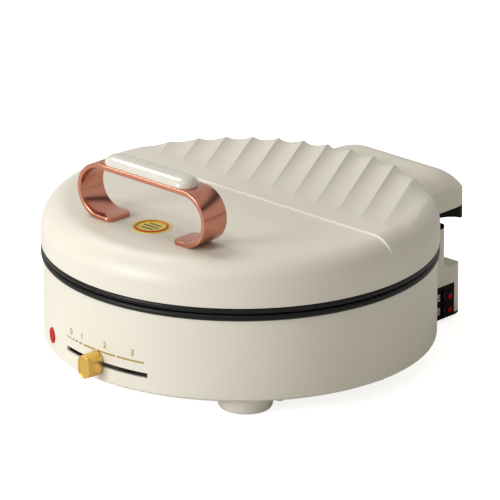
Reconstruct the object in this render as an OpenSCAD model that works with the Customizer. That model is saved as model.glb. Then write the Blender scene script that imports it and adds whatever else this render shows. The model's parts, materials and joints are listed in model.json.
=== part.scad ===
// Countertop two-plate electric baking pan with a hinged lid. Millimetres, +Z up.
// Drawn about the round body's axis, then shifted: the origin is the middle of the footprint, on the table.

/* [Round body] */
// Outer radius of the two black rims, the widest part of the body
rim_r = 175; // [165:1:190]
// How far the base wall stands in from the rims
base_inset = 2; // [1:0.25:6]
// Wall thickness of the moulded shells
wall = 2.5; // [2:0.25:4]
// Height of the base wall's bottom edge above the table
base_z = 17; // [12:1:26]
// Height of the base wall
base_h = 74.1; // [68:1:95]
// Height of one black rim bead
rim_h = 6; // [5:0.5:9]
// Gap between the lower and upper rims when the lid is shut
rim_gap = 0.3; // [0.2:0.05:0.6]
// Clearance between shells that fit round each other
seat_gap = 0.2; // [0.1:0.05:0.3]

/* [Lid] */
// How far the lid wall stands in from the rims
lid_inset = 0.2; // [0.1:0.1:4]
// Height of the lid's rear half above its rim
lid_h = 39.4; // [36:0.2:50]
// Radius of the rounded shoulder
shoulder_r = 24.5; // [16:0.5:30]
// How far the front half of the roof lies below the rear half
step_h = 1.7; // [0.5:0.1:3]
// Distance of the step line behind the body's axis
step_y = 8; // [0:1:20]
// Number of shallow flutes pressed into the rear half
flute_count = 10; // [4:1:12]
// Spacing of the flutes along X
flute_pitch = 26.8; // [20:0.1:32]
// X position of the first crest's tip
flute_x = -126.6; // [-135:0.2:-110]
// How far behind the step line the flutes begin
flute_inset = 22.5; // [10:0.5:40]
// Angle of the flutes, from straight back towards -X
flute_turn = 30; // [0:1:40]
// Depth of a flute at the rear edge
flute_depth = 3.2; // [1:0.1:4]
// Radius of a flute's hollow
flute_r = 30; // [24:1:60]

/* [Plates] */
// Width of the rims outside the plates' flanges
rim_w = 11.2; // [9:0.2:12]
// Width of a plate's flange outside the cooking surface
flange_w = 13.8; // [12:0.2:22]
// Thickness of the cast plates
plate_t = 4; // [3:0.5:6]
// Thickness of a plate's flange
flange_t = 2.55; // [2:0.05:4]
// Depth of the lower pan, from its flange's top to its floor
pan_depth = 27; // [15:0.5:36]
// Depth of the upper plate, from its flange's face to its ceiling
ceiling_depth = 6.6; // [4:0.2:9]
// Radius of the lower heating element's loop
heater_r = 108; // [70:1:120]
// Radius of the heating elements' tube
heater_tube_r = 3.3; // [2.5:0.1:4.5]
// How far the heat shields' edges stand in from the cooking surface's edge
shield_inset = 12; // [4:1:20]
// Sheet thickness of the heat shields
shield_t = 1; // [0.6:0.1:1.6]

/* [Handle] */
// Length of the handle over its two loops
handle_l = 152; // [130:1:200]
// Outer radius of the loops, half the strap's height
loop_r = 25.5; // [20:0.5:27]
// Width of the strap
strap_w = 28.5; // [20:0.5:36]
// Thickness of the strap
strap_t = 4; // [2.5:0.1:5]
// How far the handle's middle lies in from the lid's front
handle_inset = 63.3; // [57:0.1:110]
// How far each foot of the strap reaches inward
tongue_l = 13.5; // [10:0.5:24]
// Length of the grip
grip_l = 103; // [80:1:110]
// Width of the grip
grip_w = 24; // [18:0.5:28]
// Height of the grip above the strap
grip_h = 8; // [6:0.5:12]

/* [Heat slider] */
// Height of the slot's middle above the table
slot_z = 33.5; // [31:0.5:40]
// Height of the slot
slot_h = 4.6; // [3.5:0.1:7]
// Half of the angle that the slot spans about the body's axis
slot_half = 16.4; // [12:0.2:22]
// Angle of the slot's middle from straight ahead
slot_mid = -0.7; // [-4:0.1:4]
// Angle of the knob at rest from straight ahead
knob_at = -2.4; // [-8:0.1:8]
// Width of the knob
knob_w = 15; // [11:0.5:20]
// Height of the knob
knob_h = 22; // [16:0.5:28]
// How far the knob stands out from the wall
knob_out = 16.5; // [10:0.5:24]
// Radius of the thermostat's spindle
spindle_r = 3; // [2.5:0.25:4]
// Running clearance round the spindle and the hinge pin
run_gap = 0.05; // [0.02:0.01:0.09]
// Thickness of the slider's steel lever
lever_t = 1.5; // [1:0.1:2.5]
// Width of the slider's steel lever
lever_w = 12; // [8:0.5:16]

/* [Hinge] */
// How far the hinge axis lies behind the rims
hinge_back = 9; // [9:0.5:13]
// Radius of the hinge pin
pin_r = 4; // [3:0.25:5]
// Half of the hinge tower's width
tower_half = 24; // [18:1:32]
// Radius of the tower's rounded top
tower_r = 8; // [7.5:0.1:8.1]
// Thickness of the steel hinge bracket
bracket_t = 3; // [2:0.25:4]
// Thickness of each nylon hinge washer
washer_t = 2.6; // [1.5:0.1:3.5]

/* [Rear housing] */
// Half of the housing's width, and of the neck's
house_half = 88; // [80:1:96]
// How far the housing's rear face lies behind the rims
house_back = 24; // [22:0.5:31]
// Height of the housing's top above the table
house_top = 50; // [46:0.5:58]
// Height of the housing's bottom above the table
house_z = 3; // [2:0.5:8]
// How far the neck's rear face lies in front of the rims' rearmost point
neck_inset = 0.8; // [0.8:0.1:7]
// Radius of the hollow between the neck and the housing's top
neck_fillet_r = 6; // [3:0.5:8]
// Corner radius of the housing, seen from above
house_corner = 15; // [6:1:18]
// Height of the black caps on the neck
cap_h = 2; // [2:0.5:5]

/* [Lid arm] */
// Half of the arm's width
arm_half = 72; // [60:1:76]
// How far the arm's middle lies to the right of the body's axis
arm_shift = 15; // [0:1:16]
// How far the arm's rear edge lies behind the rims
arm_back = 32; // [28:0.5:37]
// Height of the arm's crown above the black tray
arm_h = 32.2; // [26:0.2:36]
// Height of the arm's black tray
tray_h = 12.2; // [11:0.2:14]
// Radius in which the tray's underside is scooped out towards the body
scoop_r = 110; // [90:1:140]
// Height of the scoop's highest line above the tray's lowest face
scoop_rise = 8.8; // [4:0.2:9]
// How far the scoop's highest line lies in from the rims' rearmost point
scoop_inset = 22.8; // [10:0.2:30]
// Corner radius of the arm, seen from above
arm_corner = 19; // [8:1:24]
// Radius in which the arm's crown falls towards its edges
crown_r = 45; // [40:1:60]
// Width of the band along the arm's edges in which the crown falls
crown_w = 31; // [20:1:32]

/* [Switches] */
// Height of one rocker
rocker_h = 9; // [8:0.5:10]
// Length of one rocker
rocker_l = 14; // [12:0.5:15]
// Distance between the two rockers' middles
rocker_pitch = 12.8; // [12.8:0.1:15]
// Tilt of a rocker to each side of level
rocker_tilt = 5; // [3:0.5:6]

/* [Feet] */
// Radius of a foot at its top
foot_r = 24.5; // [16:0.5:26]
// Taper of a foot, the amount that its bottom is smaller in radius
foot_taper = 1; // [1:0.5:5]
// How far each foot's middle lies in from the base wall
foot_inset = 33; // [29:1:60]
// How far the rubber pad stands below the foot
pad_proud = 1; // [0.6:0.1:2]

/* [Hidden] */
$fn = 96;

base_r = rim_r - base_inset;
lid_r = rim_r - lid_inset;
plate_r = rim_r - rim_w;
pan_r = plate_r - flange_w;
shield_r = pan_r - shield_inset;
handle_y = lid_r - handle_inset;
hinge_y = rim_r + hinge_back;
house_y = rim_r + house_back;
neck_y = rim_r - neck_inset;
arm_y = rim_r + arm_back;
foot_ring = base_r - foot_inset;
rear_start = rim_r - 75;
base_top = base_z + base_h;
rim_top = base_top + rim_h;
upper_z = rim_top + rim_gap;
lid_z = upper_z + rim_h;
roof_z = lid_z + lid_h;
front_roof_z = roof_z - step_h;
split_z = rim_top + rim_gap / 2;
inner_r = base_r - wall;
flange_in = plate_r - 5.8;
knob_face = base_r + knob_out;
axis_y = (knob_face - arm_y) / 2;
hinge_z = split_z;
floor_z = rim_top - pan_depth;
floor_under = floor_z - plate_t;
ceiling_z = upper_z + ceiling_depth;
ceiling_top = ceiling_z + plate_t;
shield_z = floor_under - 13.5;
upper_shield_z = ceiling_top + 12.5;
floor_top = base_z + wall;
washer_in = tower_half + 0.2;
ear_in = washer_in + washer_t + 0.2;
ear_out = ear_in + bracket_t;
notch_half = ear_out + 1.5;
neck_corner = 4 + wall;
tray_z = lid_z - tray_h;
neck_top = tray_z - 0.6;
neck_shell_top = neck_top - cap_h;
cover_z = house_z + wall;
bracket_z = hinge_z + 12;
lamp_at = -28;
handle_c = handle_l / 2 - loop_r;
bar_z = front_roof_z + 2 * loop_r;
rocker_y = house_y - 24.5;
rocker_x = house_half - 6;
switch_half = rocker_h / 2 + 1.3;
rocker_z = cover_z + switch_half + 0.2;
cord_x = -50;
cord_z = 24;
cord_bore_r = 3.9;
boss_ring = base_r - 8;
plate_boss_ring = flange_in + 3;
shield_post_ring = shield_r - 10;
post_turns = [45, 135, 225, 315];
end_turns = [68, 112];
cold_end_r = heater_tube_r + 0.7;
upper_heater_r = heater_r - 8;
lower_drop = 16;
upper_drop = 12;
lower_end_z = floor_under - 6 - lower_drop;
upper_end_z = ceiling_top + 6 + upper_drop;
stud_l = 8;

// Places children on the body's axis, with the origin at the middle of the footprint.
module on_axis() { translate([0, axis_y, 0]) children(); }

// A tube about Z between two heights.
module tube(r_out, r_in, z0, z1) {
    translate([0, 0, z0]) difference() {
        cylinder(r = r_out, h = z1 - z0);
        translate([0, 0, -1]) cylinder(r = r_in, h = z1 - z0 + 2);
    }
}

// Children copied to angles about Z at a radius.
module ring_of(angles, radius) {
    for (turn = angles) rotate([0, 0, turn]) translate([radius, 0, 0]) children();
}

// A cross-head screw pointing up, with its head's underside at z = 0.
module screw_up(r, length, head_r, head_h) {
    difference() {
        union() {
            translate([0, 0, -head_h]) cylinder(r = head_r, h = head_h, $fn = 32);
            cylinder(r = r, h = length, $fn = 24);
        }
        for (turn = [0, 90]) rotate([0, 0, turn])
            translate([-head_r * 0.6, -head_r * 0.12, -head_h - 1]) cube([head_r * 1.2, head_r * 0.24, 1 + head_h * 0.5]);
    }
}

// A round rod between two points, with ball ends.
module rod(a, b, r) {
    d = b - a;
    length = norm(d);
    translate(a) rotate([0, acos(d[2] / length), atan2(d[1], d[0])]) cylinder(r = r, h = length, $fn = 24);
    for (end = [a, b]) translate(end) sphere(r = r * 1.15, $fn = 24);
}

// A rectangle centred on X from y0 to y1, with its rear corners rounded.
module rear_plan(half, y0, y1, corner) {
    translate([-half, y0]) square([2 * half, y1 - y0 - corner]);
    translate([-half + corner, y0]) square([2 * half - 2 * corner, y1 - y0]);
    for (side = [-1, 1]) translate([side * (half - corner), y1 - corner]) circle(r = corner);
}

// ---------- Base ----------

// Half section of the base's wall and the flange that carries the rim.
module base_profile() {
    edge_r = 2;
    difference() {
        union() {
            translate([inner_r, base_z]) square([wall, base_h]);
            translate([flange_in, base_top - wall]) square([base_r - flange_in, wall]);
        }
        translate([base_r - edge_r, base_z - 1]) difference() {
            square([edge_r + 1, edge_r + 1]);
            translate([0, edge_r + 1]) circle(r = edge_r);
        }
    }
}

screw_turns = [0, 60, 120, 180, 215, 325];
housing_turns = [70, 110];
housing_screw_zs = [house_top - 12, neck_shell_top - 14];

module base_shell() {
    color("ivory") on_axis() difference() {
        union() {
            rotate_extrude($fn = 180) base_profile();
            ring_of(screw_turns, boss_ring) translate([0, 0, floor_top]) difference() {
                cylinder(r = 6, h = base_top - wall - floor_top);
                translate([0, 0, -1]) cylinder(r = 2, h = 15);
            }
        }
        rotate([0, 0, 270 + slot_mid - slot_half]) rotate_extrude(angle = 2 * slot_half)
            translate([inner_r - 2, slot_z - slot_h / 2]) square([wall + 4, slot_h]);
        rotate([0, 0, lamp_at]) translate([0, -inner_r + 2, slot_z]) rotate([90, 0, 0])
            cylinder(r = 7.2, h = 8);
        translate([-30, inner_r - 25, cover_z + 22]) cube([60, 30, 16]);
        for (z = housing_screw_zs) ring_of(housing_turns, inner_r - 1)
            translate([0, 0, z]) rotate([0, 90, 0]) cylinder(r = 2.2, h = 5);
    }
}

module base_plate() {
    color("gainsboro") on_axis() difference() {
        translate([0, 0, base_z]) cylinder(r = inner_r - seat_gap, h = wall);
        translate([0, 0, base_z - 1]) {
            ring_of(screw_turns, boss_ring) cylinder(r = 2.2, h = wall + 2);
            ring_of([for (i = [0:23]) i * 15], 60) translate([0, -1.5, 0]) cube([30, 3, wall + 2]);
        }
    }
}

module base_screws() {
    color("silver") on_axis() ring_of(screw_turns, boss_ring) translate([0, 0, base_z]) screw_up(1.9, 14, 3.6, 2);
}

module feet() {
    rounding = 3;
    color("ivory") on_axis() ring_of([45, 135, 225, 315], foot_ring) difference() {
        rotate_extrude() difference() {
            polygon([[0, pad_proud], [foot_r - foot_taper, pad_proud], [foot_r, base_z], [0, base_z]]);
            translate([foot_r - foot_taper - rounding, pad_proud - 1]) difference() {
                square(rounding + 1);
                translate([0, rounding + 1]) circle(r = rounding);
            }
        }
        translate([0, 0, -1]) cylinder(r = foot_r - 9 + seat_gap, h = pad_proud + 3);
    }
}

module foot_pads() {
    color("dimgray") on_axis() ring_of([45, 135, 225, 315], foot_ring) cylinder(r = foot_r - 9, h = pad_proud + 2);
}

// Half section of a rim ring, with its plate's seat at the bottom and its face at z = rim_h.
module rim_profile() {
    seat = plate_r + seat_gap;
    bead_x = rim_r - rim_h / 2;
    translate([flange_in, 0]) square([bead_x - flange_in, rim_h - flange_t]);
    translate([seat, 0]) square([bead_x - seat, rim_h]);
    translate([bead_x, rim_h / 2]) circle(r = rim_h / 2);
}

module lower_rim_ring() {
    color("#262626") on_axis() translate([0, 0, base_top]) rotate_extrude($fn = 180) rim_profile();
}

// Half section of a cooking plate, its flange's face at z = 0 and its floor at -depth.
module plate_profile(depth, fillet) {
    wall_r = pan_r + plate_t;
    corner = fillet + plate_t;
    difference() {
        union() {
            translate([pan_r, -flange_t]) square([plate_r - pan_r, flange_t]);
            translate([0, -depth - plate_t]) square([wall_r, depth + plate_t]);
        }
        translate([0, -depth + fillet]) square([pan_r, depth]);
        translate([0, -depth]) square([pan_r - fillet, depth]);
        translate([pan_r - fillet, -depth + fillet]) circle(r = fillet);
        translate([wall_r - corner, -depth - plate_t - 1]) difference() {
            square(corner + 1);
            translate([0, corner + 1]) circle(r = corner);
        }
    }
}

// Half section of the ridge under a plate that the heating element lies in.
module heater_ridge(radius) {
    difference() {
        translate([radius - 6, 0]) square([12, 6.5]);
        translate([radius, 0]) circle(r = heater_tube_r + 0.1, $fn = 48);
    }
}

// The whole ridge, open where the element's cold ends turn away.
module ridge_ring(radius) {
    difference() {
        rotate_extrude() heater_ridge(radius);
        ring_of(end_turns, radius) translate([0, 0, -1]) cylinder(r = cold_end_r + 0.5, h = 7);
    }
}

module lower_pan() {
    color("#3a3a3c") on_axis() {
        rotate_extrude($fn = 180) translate([0, rim_top]) plate_profile(pan_depth, 8);
        translate([0, 0, floor_under - 6]) ridge_ring(heater_r);
        translate([0, 0, floor_under - 8]) cylinder(r = 10, h = 8.5);
        ring_of(post_turns, shield_post_ring) translate([0, 0, shield_z + shield_t]) difference() {
            cylinder(r = 4, h = floor_under + 0.5 - shield_z - shield_t);
            translate([0, 0, -1]) cylinder(r = 1.6, h = 9);
        }
    }
}

// A heating element: a loop about Z whose two cold ends go down to z = 0.
module heater(radius, drop) {
    rotate([0, 0, end_turns[1]]) rotate_extrude(angle = 360 - end_turns[1] + end_turns[0])
        translate([radius, drop]) circle(r = heater_tube_r, $fn = 48);
    ring_of(end_turns, radius) {
        cylinder(r = cold_end_r, h = drop + 3, $fn = 48);
        translate([-3, -0.4, -stud_l]) cube([6, 0.8, stud_l + 1]);
    }
}

module lower_heater() {
    color("dimgray") on_axis() translate([0, 0, lower_end_z]) heater(heater_r, lower_drop);
}

module heater_clips() {
    clip_z = floor_under - 6 - heater_tube_r - 1.3;
    clip_w = 17;
    clip_t = 1.3;
    color("silver") on_axis() ring_of([0, 180, 270], heater_r) translate([0, -4, clip_z]) difference() {
        translate([-clip_w / 2, 0, 0]) cube([clip_w, 8, floor_under - clip_z]);
        translate([-clip_w / 2 + clip_t, -1, clip_t - 0.1]) cube([clip_w - 2 * clip_t, 10, floor_under - clip_z]);
    }
}

module heat_shield(hole_radius) {
    difference() {
        union() {
            tube(shield_r, 22, 0, shield_t);
            tube(shield_r, shield_r - shield_t, 0, 10);
        }
        translate([0, 0, -1]) {
            ring_of(post_turns, shield_post_ring) cylinder(r = 1.7, h = shield_t + 2);
            ring_of(end_turns, hole_radius) cylinder(r = cold_end_r + 1, h = shield_t + 2);
        }
    }
}

module lower_heat_shield() {
    color("lightgray") on_axis() translate([0, 0, shield_z]) heat_shield(heater_r);
}

module shield_screws() {
    color("silver") on_axis() ring_of(post_turns, shield_post_ring) translate([0, 0, shield_z]) screw_up(1.5, 7, 3, 1.8);
}

thermostat_z = floor_under - 8 - 14;
spindle_top = thermostat_z + 6;
hub_top = slot_z + 3;

module thermostat() {
    color("whitesmoke") on_axis() difference() {
        union() {
            translate([-13, -9, thermostat_z]) cube([26, 18, 14]);
            translate([0, 0, hub_top + 0.3]) cylinder(r = 6, h = thermostat_z - hub_top);
            for (side = [-1, 1]) translate([side * 16 - 4, -3, thermostat_z + 3]) cube([8, 6, 0.8]);
        }
        translate([0, 0, hub_top]) cylinder(r = spindle_r + run_gap, h = spindle_top + 0.2 - hub_top);
    }
}

module thermal_fuse() {
    color("gold") on_axis() translate([-45, 0, floor_under - 3.2]) rotate([0, 90, 0]) {
        cylinder(r = 3.1, h = 22, $fn = 32);
        translate([0, 0, -8]) cylinder(r = 0.8, h = 38, $fn = 24);
    }
}

module indicator_lens() {
    color("red") on_axis() rotate([0, 0, lamp_at]) translate([0, -inner_r + 4, slot_z]) rotate([90, 0, 0]) {
        cylinder(r = 9, h = 3);
        cylinder(r = 7, h = 4 + wall + 0.6);
    }
}

module indicator_lamp() {
    color("orange") on_axis() rotate([0, 0, lamp_at]) translate([0, -inner_r + 4.1, slot_z]) rotate([-90, 0, 0]) {
        cylinder(r = 5, h = 14);
        for (side = [-1.5, 1.5]) translate([side, 0, 13]) cylinder(r = 0.5, h = 8, $fn = 16);
    }
}

// Gold marks above the slot: dashes that grow towards high heat, then two long bars.
module scale_marks() {
    marks_z = slot_z + slot_h / 2 + 8.4;
    starts = [-17, -16.1, -15.1, -13.9, -12.4, -10.5, -8.1, -2.4, 5.3];
    lengths = [0.35, 0.4, 0.5, 0.8, 1.1, 1.5, 4.9, 7.1, 9.3];
    color("gold") on_axis() for (i = [0:len(starts) - 1]) rotate([0, 0, 270 + starts[i]])
        rotate_extrude(angle = lengths[i]) translate([base_r + 0.02, marks_z]) square([0.2, 1.3]);
}

block_at = [-60, 40, floor_top];

module terminal_block() {
    color("whitesmoke") on_axis() translate(block_at) difference() {
        translate([-18, -8, 0]) cube([36, 16, 13]);
        for (i = [-1, 0, 1]) translate([i * 11, 0, 5]) cylinder(r = 2.6, h = 9, $fn = 32);
    }
}

module base_wiring() {
    block_top = block_at + [0, 0, 14.4];
    stub = lower_end_z - stud_l - 1.7;
    low = slot_z + 9;
    color("firebrick") on_axis() {
        rod(block_top + [-11, 0, 0], [-heater_r * sin(22), heater_r * cos(22), stub], 1.3);
        rod(block_top, [-22, 0, thermostat_z + 3.4], 1.3);
        rod([22, 0, thermostat_z + 3.4], [heater_r * sin(22), heater_r * cos(22), stub], 1.3);
        rod(block_top + [11, 0, 0], [-12, inner_r - 20, low], 1.3);
        rod([-12, inner_r - 20, low], [-12, base_r + 8, low - 6], 1.3);
    }
}

// ---------- Rear housing ----------

// The housing's outer block, or its hollow when inset by a wall.
module housing_block(inset) {
    low = inset > 0 ? cover_z - 1 : cover_z;
    difference() {
        union() {
            translate([0, 0, low]) linear_extrude(house_top - inset - low)
                rear_plan(house_half - inset, rear_start, house_y - inset, house_corner - inset);
            translate([0, 0, low]) linear_extrude(neck_shell_top - inset - low)
                rear_plan(house_half - inset, rear_start, neck_y - inset, neck_corner - inset);
        }
        translate([0, 0, -1]) cylinder(r = base_r + seat_gap + inset, h = 200, $fn = 180);
    }
}

// Section of the hollow fillet between the neck and the housing's top, from the neck's face at x = 0.
module fillet_section() {
    difference() {
        translate([-1, -1]) square(neck_fillet_r + 1);
        translate([neck_fillet_r, neck_fillet_r]) circle(r = neck_fillet_r + 0.03);
    }
}

// The fillet on both sides of the hinge tower, turned round the neck's corners.
module neck_fillet() {
    straight = house_half - neck_corner - tower_half - 1;
    intersection() {
        translate([0, 0, house_top - 2]) linear_extrude(neck_fillet_r + 3)
            rear_plan(house_half, rear_start, house_y, house_corner);
        for (side = [0, 1]) mirror([side, 0, 0]) {
            translate([tower_half + 1, neck_y, house_top]) rotate([90, 0, 90])
                linear_extrude(straight) fillet_section();
            translate([house_half - neck_corner, neck_y - neck_corner, house_top]) rotate_extrude(angle = 90)
                translate([neck_corner, 0]) fillet_section();
        }
    }
}

// What rounds the housing's top edge along its rear.
module rear_rounding() {
    round_r = house_y - hinge_y - tower_r - 0.5;
    translate([-100, house_y - round_r, house_top - round_r]) rotate([90, 0, 90]) linear_extrude(200) difference() {
        square(round_r + 1);
        circle(r = round_r);
    }
}

bezel_y0 = rocker_y - 18.3;
bezel_y1 = rocker_y + 9.3;
bezel_z0 = cover_z + 0.1;
bezel_z1 = rocker_z + rocker_pitch + rocker_h / 2 + 5;

module bezel_box(x0, x1, grow) {
    translate([x0, bezel_y0 - grow, bezel_z0 - (grow > 1 ? 0 : grow)])
        cube([x1 - x0, bezel_y1 - bezel_y0 + 2 * grow, bezel_z1 - bezel_z0 + grow + (grow > 1 ? 0 : grow)]);
}

tower_screw_xs = [-14, 14];
cover_screw_at = [[-house_half + 7.5, house_y - 8.5], [house_half - 7.5, house_y - 8.5],
    [-house_half + 5, neck_y - 4], [0, house_y - 5.5]];

module rear_housing() {
    color("ivory") on_axis() difference() {
        union() {
            difference() {
                housing_block(0);
                housing_block(wall);
            }
            neck_fillet();
            intersection() {
                housing_block(0);
                for (z = housing_screw_zs) ring_of(housing_turns, base_r + 1)
                    translate([0, 0, z]) rotate([0, 90, 0]) cylinder(r = 4.5, h = 5);
            }
            for (p = cover_screw_at) translate([p[0], p[1], cover_z]) cylinder(r = 4, h = 10);
        }
        rear_rounding();
        for (z = housing_screw_zs) ring_of(housing_turns, base_r - 1)
            translate([0, 0, z]) rotate([0, 90, 0]) cylinder(r = 1.9, h = 7);
        for (p = cover_screw_at) translate([p[0], p[1], cover_z - 1]) cylinder(r = 1.6, h = 10);
        bezel_box(house_half - wall - 0.5, house_half + 2, 0.1);
        translate([cord_x, house_y - 6, cord_z]) rotate([-90, 0, 0]) cylinder(r = 7 + seat_gap, h = 12);
        for (x = tower_screw_xs) translate([x, hinge_y, house_top - 5]) cylinder(r = 2.2, h = 10);
        translate([-30, inner_r - 25, cover_z + 22]) cube([60, 32, 16]);
    }
}

module housing_bottom_cover() {
    color("#202020") on_axis() difference() {
        translate([0, 0, house_z]) linear_extrude(wall) rear_plan(house_half, rear_start, house_y, house_corner);
        translate([0, 0, -1]) cylinder(r = base_r + seat_gap, h = 20, $fn = 180);
        for (p = cover_screw_at) translate([p[0], p[1], 0]) {
            cylinder(r = 1.8, h = 10);
            cylinder(r = 3.2, h = house_z + 1);
        }
    }
}

module cover_screws() {
    color("silver") on_axis() for (p = cover_screw_at) translate([p[0], p[1], house_z + 1]) screw_up(1.5, 9, 3, 0.9);
}

module housing_screws() {
    color("silver") on_axis() for (z = housing_screw_zs) ring_of(housing_turns, inner_r - 0.1)
        translate([0, 0, z]) rotate([0, 90, 0]) screw_up(1.8, 6.5, 3.6, 2);
}

module neck_caps() {
    color("#202020") on_axis() difference() {
        translate([0, 0, neck_shell_top]) linear_extrude(cap_h) rear_plan(house_half, rear_start, neck_y, neck_corner);
        translate([0, 0, 0]) cylinder(r = base_r + seat_gap, h = 200, $fn = 180);
        translate([-40, rear_start, 0]) cube([80, 100, 200]);
    }
}

module rocker_places() {
    for (i = [0, 1]) translate([rocker_x, rocker_y, rocker_z + i * rocker_pitch]) children();
}

// The space round a rocker, along X from the pivot.
module rocker_window(x0, x1) {
    translate([x0, -rocker_l / 2 - 0.9, -rocker_h / 2 - 0.3]) cube([x1 - x0, rocker_l + 1.8, rocker_h + 0.6]);
}

module switch_bezel() {
    color("#181818") on_axis() difference() {
        union() {
            bezel_box(house_half - wall - 0.1, house_half + 0.4, 0);
            bezel_box(house_half - wall - 1.3, house_half - wall - 0.1, 1.5);
        }
        rocker_places() rocker_window(-10, 10);
    }
}

module switch_bodies() {
    face = house_half - wall - 1.4 - rocker_x;
    color("#303030") on_axis() rocker_places() difference() {
        translate([-16, -rocker_l / 2 - 2, -switch_half]) cube([16 + face, rocker_l + 4, 2 * switch_half]);
        rocker_window(-8, 10);
        translate([0, 0, -10]) cylinder(r = 1 + run_gap, h = 20, $fn = 32);
    }
}

module rocker() {
    half = rocker_l / 2;
    rotate([0, 0, rocker_tilt]) {
        translate([0, 0, -rocker_h / 2]) linear_extrude(rocker_h)
            polygon([[-2, -3], [3.5, -half], [7, -half], [6.5, 0], [7, half], [3.5, half], [-2, 3]]);
        translate([0, 0, -rocker_h / 2 - 0.9]) cylinder(r = 1, h = rocker_h + 1.8, $fn = 32);
    }
}

module lower_plate_rocker() { color("black") on_axis() translate([rocker_x, rocker_y, rocker_z]) rocker(); }

module upper_plate_rocker() {
    color("black") on_axis() translate([rocker_x, rocker_y, rocker_z + rocker_pitch]) rocker();
}

module cord_bush() {
    color("#202020") on_axis() translate([cord_x, house_y, cord_z]) rotate([-90, 0, 0]) difference() {
        union() {
            translate([0, 0, -12]) cylinder(r = 7, h = 14);
            cylinder(r = 9.5, h = 2);
            translate([0, 0, -wall - 3]) cylinder(r = 9, h = 2.8);
        }
        translate([0, 0, -13]) cylinder(r = cord_bore_r, h = 20);
    }
}

// ---------- Hinge ----------

// A cylinder along X, centred on the hinge axis.
module hinge_round(r, half) {
    translate([-half, hinge_y, hinge_z]) rotate([0, 90, 0]) cylinder(r = r, h = 2 * half);
}

module hinge_tower() {
    color("ivory") on_axis() difference() {
        union() {
            translate([-tower_half, hinge_y - tower_r, house_top])
                cube([2 * tower_half, 2 * tower_r, hinge_z - house_top]);
            hinge_round(tower_r, tower_half);
        }
        hinge_round(pin_r + 0.1, tower_half + 1);
        for (x = tower_screw_xs) translate([x, hinge_y, house_top - 1]) cylinder(r = 2, h = 18);
    }
}

module tower_screws() {
    color("silver") on_axis() for (x = tower_screw_xs)
        translate([x, hinge_y, house_top - wall]) screw_up(1.9, 17, 3.6, 2);
}

module hinge_pin() {
    color("silver") on_axis() difference() {
        hinge_round(pin_r, ear_out + 1.3);
        for (side = [-1, 1]) translate([side * (ear_out + 0.6), hinge_y, hinge_z]) rotate([0, 90, 0])
            translate([0, 0, -0.5]) tube(pin_r + 1, pin_r - 0.8, 0, 1);
    }
}

module hinge_washers() {
    color("white") on_axis() for (side = [-1, 1])
        translate([side * (washer_in + washer_t / 2), hinge_y, hinge_z]) rotate([0, 90, 0])
            translate([0, 0, -washer_t / 2]) tube(tower_r - 0.5, pin_r + 0.1, 0, washer_t);
}

module pin_clips() {
    color("silver") on_axis() for (side = [-1, 1])
        translate([side * (ear_out + 0.6), hinge_y, hinge_z]) rotate([0, 90, 0])
            translate([0, 0, -0.4]) tube(pin_r + 2.5, pin_r - 0.7, 0, 0.8);
}

bracket_screw_at = [[-18, hinge_y - 25], [18, hinge_y - 25], [-18, hinge_y - 17], [18, hinge_y - 17],
    [-18, hinge_y - 1], [18, hinge_y - 1]];

module hinge_bracket() {
    color("silver") on_axis() difference() {
        union() {
            translate([-ear_out, hinge_y - 29.5, bracket_z]) cube([2 * ear_out, 36, bracket_t]);
            for (side = [-1, 1]) translate([side * (ear_in + bracket_t / 2) - bracket_t / 2, hinge_y, 0]) {
                translate([0, -tower_r + 0.5, hinge_z])
                    cube([bracket_t, 2 * tower_r - 1, bracket_z + bracket_t - hinge_z]);
                translate([0, 0, hinge_z]) rotate([0, 90, 0]) cylinder(r = tower_r - 0.5, h = bracket_t);
            }
        }
        hinge_round(pin_r + run_gap, ear_out + 1);
        for (p = bracket_screw_at) translate([p[0], p[1], bracket_z - 1]) cylinder(r = 2.2, h = bracket_t + 2);
    }
}

module bracket_screws() {
    color("silver") on_axis() for (p = bracket_screw_at) translate([p[0], p[1], bracket_z]) screw_up(1.9, 10, 3.4, 1.8);
}

// ---------- Heat slider ----------

module knob_turn() { on_axis() rotate([0, 0, knob_at]) children(); }

module control_lever() {
    neck_w = 6;
    color("silver") knob_turn() difference() {
        union() {
            translate([-lever_w / 2, -inner_r + 20, slot_z - lever_t / 2]) cube([lever_w, inner_r - 20, lever_t]);
            translate([-neck_w / 2, -base_r - 9, slot_z - lever_t / 2]) cube([neck_w, 60, lever_t]);
            translate([0, 0, slot_z - 2]) cylinder(r = 8, h = hub_top - slot_z + 2);
        }
        cylinder(r = spindle_r + 0.1, h = 100);
    }
}

module thermostat_spindle() {
    color("gray") knob_turn() translate([0, 0, slot_z - 5]) cylinder(r = spindle_r, h = spindle_top - slot_z + 5);
}

module spindle_nut() {
    color("silver") knob_turn() translate([0, 0, slot_z - 4.5]) difference() {
        cylinder(r = 6, h = 2.5, $fn = 6);
        translate([0, 0, -1]) cylinder(r = spindle_r + 0.1, h = 5);
    }
}

// An upright stadium, wider than high when w exceeds h.
module stadium(w, h) {
    for (side = [-1, 1]) translate([0, side * (h - w) / 2]) circle(r = w / 2);
    translate([-w / 2, -(h - w) / 2]) square([w, h - w]);
}

module slide_knob() {
    wall_gap = 0.8;
    rim = 1.6;
    color("gold") knob_turn() difference() {
        translate([0, -base_r - wall_gap, slot_z]) rotate([90, 0, 0]) linear_extrude(knob_out - wall_gap) stadium(knob_w, knob_h);
        translate([0, -knob_face + 0.7, slot_z]) rotate([90, 0, 0]) linear_extrude(2) stadium(knob_w - 2 * rim, knob_h - 2 * rim);
        translate([-3.1, -base_r - 9.1, slot_z - lever_t / 2 - 0.1]) cube([6.2, 20, lever_t + 0.2]);
    }
}

// ---------- Lid ----------

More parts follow.
